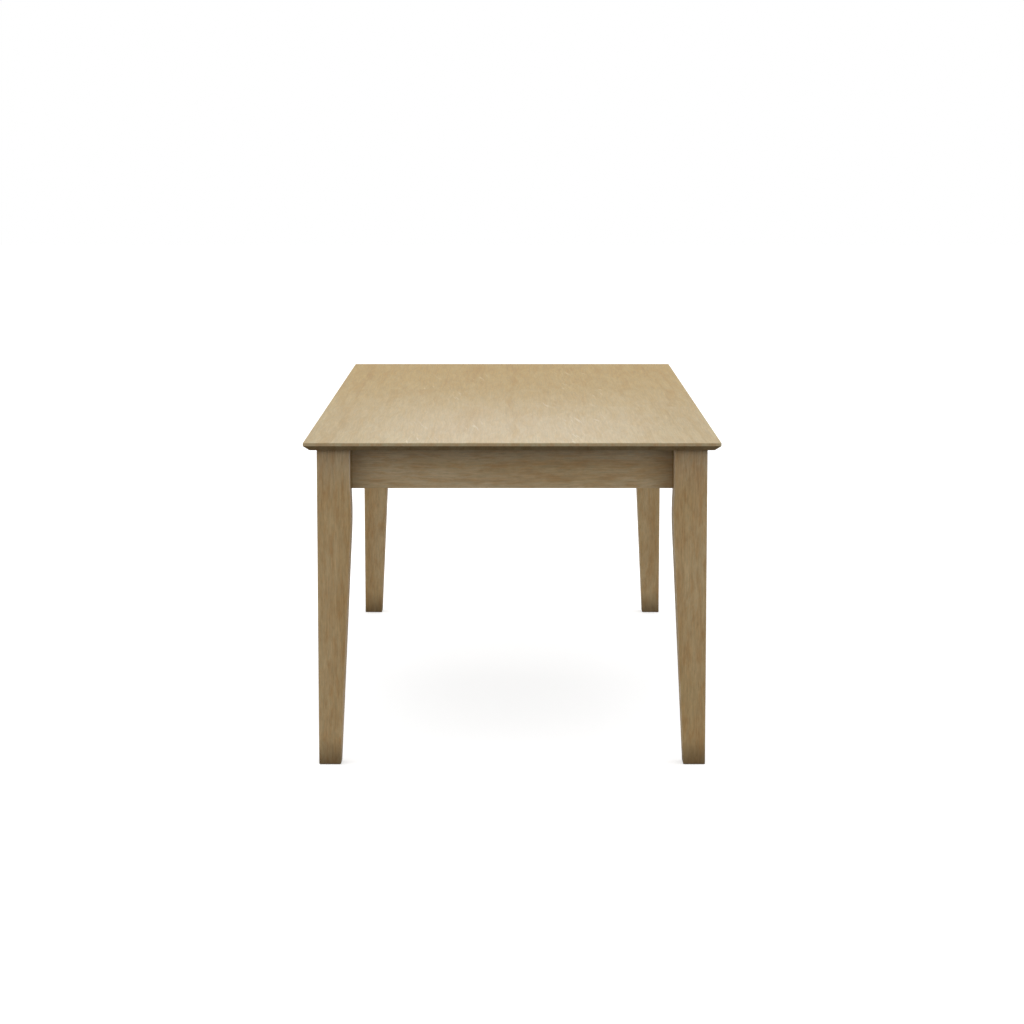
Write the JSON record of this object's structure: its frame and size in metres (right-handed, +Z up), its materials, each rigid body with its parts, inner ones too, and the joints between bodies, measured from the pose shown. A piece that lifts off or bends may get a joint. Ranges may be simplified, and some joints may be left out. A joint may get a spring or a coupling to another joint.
{
  "type": "extending dining table",
  "caption": "Rectangular wooden dining table with tapered legs, whose halves part on geared slides for a lift-out leaf held by locks.",
  "frame": {"origin": "on the floor, under the middle of the leaf", "axes": "+X across the table, +Y along it from the near half to the far half, +Z up"},
  "size_m": [0.965, 2.286, 0.762],
  "materials": {
    "top_wood": "satin lacquered light maple, grain along the table",
    "leg_wood": "satin lacquered light maple, grain upright",
    "apron_wood": "satin lacquered light maple, grain along the board",
    "cleat_wood": "planed bare maple",
    "runner_wood": "waxed bare maple",
    "gear_nylon": "moulded natural nylon",
    "glide_nylon": "moulded tan nylon",
    "lock_steel": "brass-plated pressed steel",
    "plated_steel": "zinc-plated steel"
  },
  "bodies": {
    "slide_frame": {"centre_right_runner": "runner_wood", "centre_left_runner": "runner_wood", "near_crossbar": "runner_wood", "far_crossbar": "runner_wood", "pinion_pins": "plated_steel"},
    "near_half": {"near_corner_brackets": "plated_steel", "near_end_apron": "apron_wood", "near_foot_glides": "glide_nylon", "near_inner_cleat": "cleat_wood", "near_left_apron": "apron_wood", "near_left_leg": "leg_wood", "near_left_rack": "gear_nylon", "near_left_runner": "runner_wood", "near_leg_bolts": "plated_steel", "near_leg_nuts": "plated_steel", "near_lock_plates": "lock_steel", "near_outer_cleat": "cleat_wood", "near_right_apron": "apron_wood", "near_right_leg": "leg_wood", "near_right_rack": "gear_nylon", "near_right_runner": "runner_wood", "near_runner_stops": "runner_wood", "near_top": "top_wood"},
    "far_half": {"far_corner_brackets": "plated_steel", "far_end_apron": "apron_wood", "far_foot_glides": "glide_nylon", "far_inner_cleat": "cleat_wood", "far_keepers": "lock_steel", "far_left_apron": "apron_wood", "far_left_leg": "leg_wood", "far_left_rack": "gear_nylon", "far_left_runner": "runner_wood", "far_leg_bolts": "plated_steel", "far_leg_nuts": "plated_steel", "far_outer_cleat": "cleat_wood", "far_right_apron": "apron_wood", "far_right_leg": "leg_wood", "far_right_rack": "gear_nylon", "far_right_runner": "runner_wood", "far_runner_stops": "runner_wood", "far_top": "top_wood"},
    "leaf": {"leaf_far_batten": "cleat_wood", "leaf_keepers": "lock_steel", "leaf_left_skirt": "apron_wood", "leaf_lock_plates": "lock_steel", "leaf_near_batten": "cleat_wood", "leaf_right_skirt": "apron_wood", "leaf_top": "top_wood"},
    "right_pinion": {"right_pinion": "gear_nylon"},
    "left_pinion": {"left_pinion": "gear_nylon"},
    "leaf_left_lever": {"leaf_left_lever": "lock_steel"},
    "leaf_right_lever": {"leaf_right_lever": "lock_steel"},
    "near_left_lever": {"near_left_lever": "lock_steel"},
    "near_right_lever": {"near_right_lever": "lock_steel"}
  },
  "joints": [
    {"name": "near_half_slide", "type": "slide", "parent": "slide_frame", "child": "near_half", "axis": [0, -1, 0], "range_m": [0, 0.076]},
    {"name": "far_half_slide", "type": "slide", "parent": "slide_frame", "child": "far_half", "axis": [0, 1, 0], "range_m": [0, 0.076]},
    {"name": "right_pinion_spin", "type": "hinge", "parent": "slide_frame", "child": "right_pinion", "pos_m": [0.24, 0, 0.71], "axis": [0, 0, 1], "range_deg": [0, 331]},
    {"name": "left_pinion_spin", "type": "hinge", "parent": "slide_frame", "child": "left_pinion", "pos_m": [-0.24, 0, 0.71], "axis": [0, 0, -1], "range_deg": [0, 331]},
    {"name": "leaf_lift", "type": "slide", "parent": "slide_frame", "child": "leaf", "axis": [0, 0, 1], "range_m": [0, 0.25]},
    {"name": "near_right_lock_turn", "type": "hinge", "parent": "near_half", "child": "near_right_lever", "pos_m": [0.324, -0.276, 0.7392], "axis": [0, 0, -1], "range_deg": [0, 90]},
    {"name": "near_left_lock_turn", "type": "hinge", "parent": "near_half", "child": "near_left_lever", "pos_m": [-0.324, -0.276, 0.7392], "axis": [0, 0, 1], "range_deg": [0, 90]},
    {"name": "leaf_right_lock_turn", "type": "hinge", "parent": "leaf", "child": "leaf_right_lever", "pos_m": [0.324, 0.232, 0.7392], "axis": [0, 0, -1], "range_deg": [0, 90]},
    {"name": "leaf_left_lock_turn", "type": "hinge", "parent": "leaf", "child": "leaf_left_lever", "pos_m": [-0.324, 0.232, 0.7392], "axis": [0, 0, 1], "range_deg": [0, 90]}
  ],
  "couplings": [
    {"joint": "far_half_slide", "follows": "near_half_slide", "ratio": 1},
    {"joint": "right_pinion_spin", "follows": "near_half_slide", "rad_per_m": 75.758},
    {"joint": "left_pinion_spin", "follows": "near_half_slide", "rad_per_m": 75.758}
  ]
}
